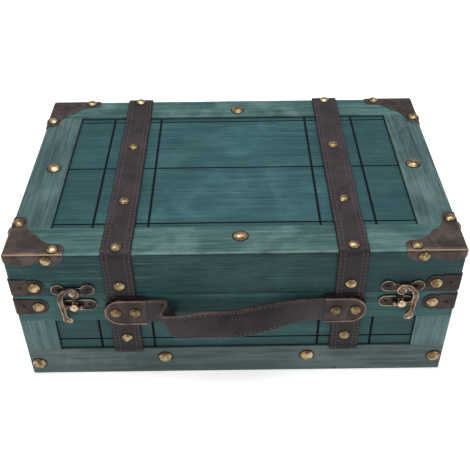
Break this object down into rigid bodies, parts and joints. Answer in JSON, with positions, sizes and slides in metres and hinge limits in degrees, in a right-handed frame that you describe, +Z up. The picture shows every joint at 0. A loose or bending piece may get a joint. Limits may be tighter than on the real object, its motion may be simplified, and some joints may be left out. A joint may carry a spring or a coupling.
{
  "type": "treasure chest box",
  "caption": "Flat-topped wooden treasure chest box with a hinged lid, leather straps, dome nails, metal corner plates, swing-hook latches and a leather front handle.",
  "frame": {"origin": "middle of the underside that the box rests on: the centre of its width and depth at the height of the surface it stands on", "axes": "+X to the right seen from the front, +Y from the front with the latches towards the hinged rear, +Z up"},
  "size_m": [0.3874, 0.2757, 0.1521],
  "materials": {
    "rail_wood": "satin",
    "panel_wood": "satin",
    "inner_wood": "matt",
    "strap_leather": "satin",
    "handle_leather": "satin",
    "nail_brass": "satin",
    "plate_bronze": "satin",
    "latch_bronze": "satin",
    "hinge_metal": "satin"
  },
  "bodies": {
    "base": {"base_front_board": "panel_wood", "base_rear_board": "panel_wood", "base_left_board": "panel_wood", "base_right_board": "panel_wood", "base_floor": "inner_wood", "base_upper_rails": "rail_wood", "base_lower_rails": "rail_wood", "base_stiles": "rail_wood", "base_front_strap_left": "strap_leather", "base_front_strap_right": "strap_leather", "base_rear_strap_left": "strap_leather", "base_rear_strap_right": "strap_leather", "base_corner_brackets": "plate_bronze", "base_bracket_nails": "nail_brass", "base_rail_nails": "nail_brass", "base_strap_nails": "nail_brass", "handle_plate_left": "plate_bronze", "handle_plate_right": "plate_bronze", "handle_plate_nails": "nail_brass", "handle_end_left": "handle_leather", "handle_end_right": "handle_leather", "latch_catch_left": "latch_bronze", "latch_catch_right": "latch_bronze", "latch_catch_pins": "latch_bronze", "hinge_leaf_base_left": "hinge_metal", "hinge_leaf_base_right": "hinge_metal", "hinge_pins": "hinge_metal", "hinge_screws_base": "hinge_metal"},
    "lid": {"lid_front_board": "panel_wood", "lid_rear_board": "panel_wood", "lid_left_board": "panel_wood", "lid_right_board": "panel_wood", "lid_top_panel": "panel_wood", "lid_front_rail": "rail_wood", "lid_rear_rail": "rail_wood", "lid_left_stile": "rail_wood", "lid_right_stile": "rail_wood", "lid_strap_left": "strap_leather", "lid_strap_right": "strap_leather", "lid_strap_nails": "nail_brass", "lid_frame_nails": "nail_brass", "corner_plate_front_left": "plate_bronze", "corner_plate_front_right": "plate_bronze", "corner_plate_rear_left": "plate_bronze", "corner_plate_rear_right": "plate_bronze", "corner_plate_nails": "nail_brass", "lid_corner_brackets": "plate_bronze", "lid_bracket_nails": "nail_brass", "latch_plate_left": "latch_bronze", "latch_plate_right": "latch_bronze", "latch_rivets": "latch_bronze", "latch_plate_pins": "latch_bronze", "hinge_leaf_lid_left": "hinge_metal", "hinge_leaf_lid_right": "hinge_metal", "hinge_screws_lid": "hinge_metal"},
    "hook_left": {"hook_left": "latch_bronze"},
    "hook_right": {"hook_right": "latch_bronze"},
    "grip": {"handle_grip": "handle_leather"}
  },
  "joints": [
    {"name": "lid_hinge", "type": "hinge", "parent": "base", "child": "lid", "pos_m": [0, 0.1267, 0.1006], "axis": [-1, 0, 0], "range_deg": [0, 160]},
    {"name": "hook_left_pivot", "type": "hinge", "parent": "lid", "child": "hook_left", "pos_m": [-0.1375, -0.1273, 0.106], "axis": [0, 1, 0], "range_deg": [0, 75]},
    {"name": "hook_right_pivot", "type": "hinge", "parent": "lid", "child": "hook_right", "pos_m": [0.1418, -0.1273, 0.106], "axis": [0, -1, 0], "range_deg": [0, 75]},
    {"name": "handle_lift", "type": "hinge", "parent": "base", "child": "grip", "pos_m": [-0.04733, -0.14134, 0.07907], "axis": [-0.9925, -0.0984, -0.0726], "range_deg": [0, 20]}
  ]
}
